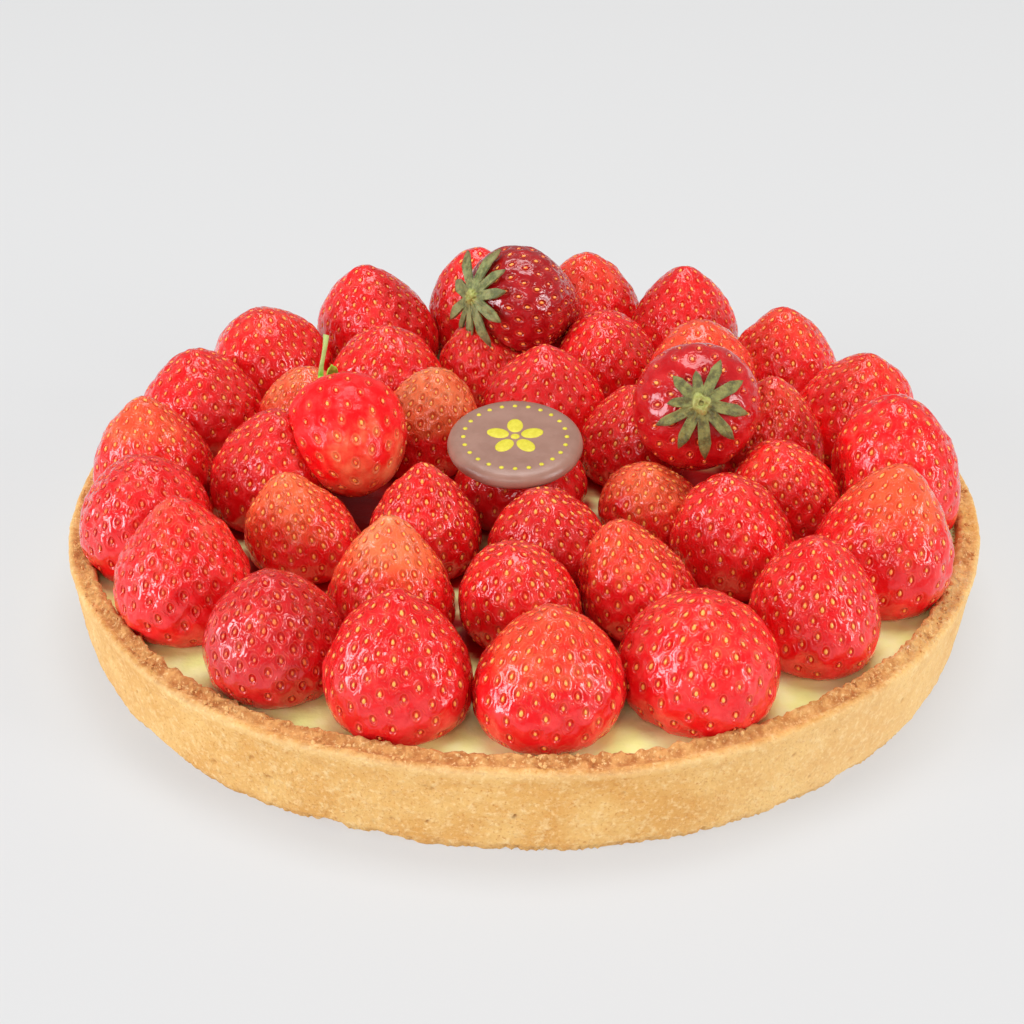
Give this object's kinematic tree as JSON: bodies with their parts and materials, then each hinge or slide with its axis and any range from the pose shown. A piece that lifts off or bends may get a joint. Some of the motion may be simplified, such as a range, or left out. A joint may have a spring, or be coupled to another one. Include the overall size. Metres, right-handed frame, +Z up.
{
  "type": "strawberry tart",
  "caption": "Round strawberry tart: a shortcrust case of pastry cream topped with rings of upright strawberries, whole strawberries and a chocolate disc.",
  "frame": {"origin": "middle of the tart's outline, on the plane that its base rests on", "axes": "+Z up out of the tart, -Y towards the side seen from the front, +X to the viewer's right"},
  "size_m": [0.241, 0.241, 0.0686],
  "materials": {
    "crust": "baked shortcrust, grainy and matt",
    "cream": "smooth pastry cream, slightly moist",
    "strawberry": "wet, glossy red skin",
    "leaf": "matt leaf",
    "chocolate": "satin milk chocolate"
  },
  "bodies": {
    "root": {"crust": "crust", "cream": "cream", "berry_outer_01": "strawberry", "berry_outer_02": "strawberry", "berry_outer_03": "strawberry", "berry_outer_04": "strawberry", "berry_outer_05": "strawberry", "berry_outer_06": "strawberry", "berry_outer_07": "strawberry", "berry_outer_08": "strawberry", "berry_outer_09": "strawberry", "berry_outer_10": "strawberry", "berry_outer_11": "strawberry", "berry_outer_12": "strawberry", "berry_outer_13": "strawberry", "berry_outer_14": "strawberry", "berry_outer_15": "strawberry", "berry_outer_16": "strawberry", "berry_outer_17": "strawberry", "berry_outer_18": "strawberry", "berry_second_01": "strawberry", "berry_second_02": "strawberry", "berry_second_03": "strawberry", "berry_second_04": "strawberry", "berry_second_05": "strawberry", "berry_second_06": "strawberry", "berry_second_07": "strawberry", "berry_second_08": "strawberry", "berry_second_09": "strawberry", "berry_second_10": "strawberry", "berry_second_11": "strawberry", "berry_second_12": "strawberry", "berry_second_13": "strawberry", "berry_third_01": "strawberry", "berry_third_02": "strawberry", "berry_third_03": "strawberry", "berry_third_04": "strawberry", "berry_third_05": "strawberry", "berry_third_06": "strawberry", "berry_middle_01": "strawberry", "berry_whole_left": "strawberry", "calyx_left": "leaf", "berry_whole_back": "strawberry", "calyx_back": "leaf", "berry_whole_right": "strawberry", "calyx_right": "leaf", "disc": "chocolate"}
  },
  "joints": []
}
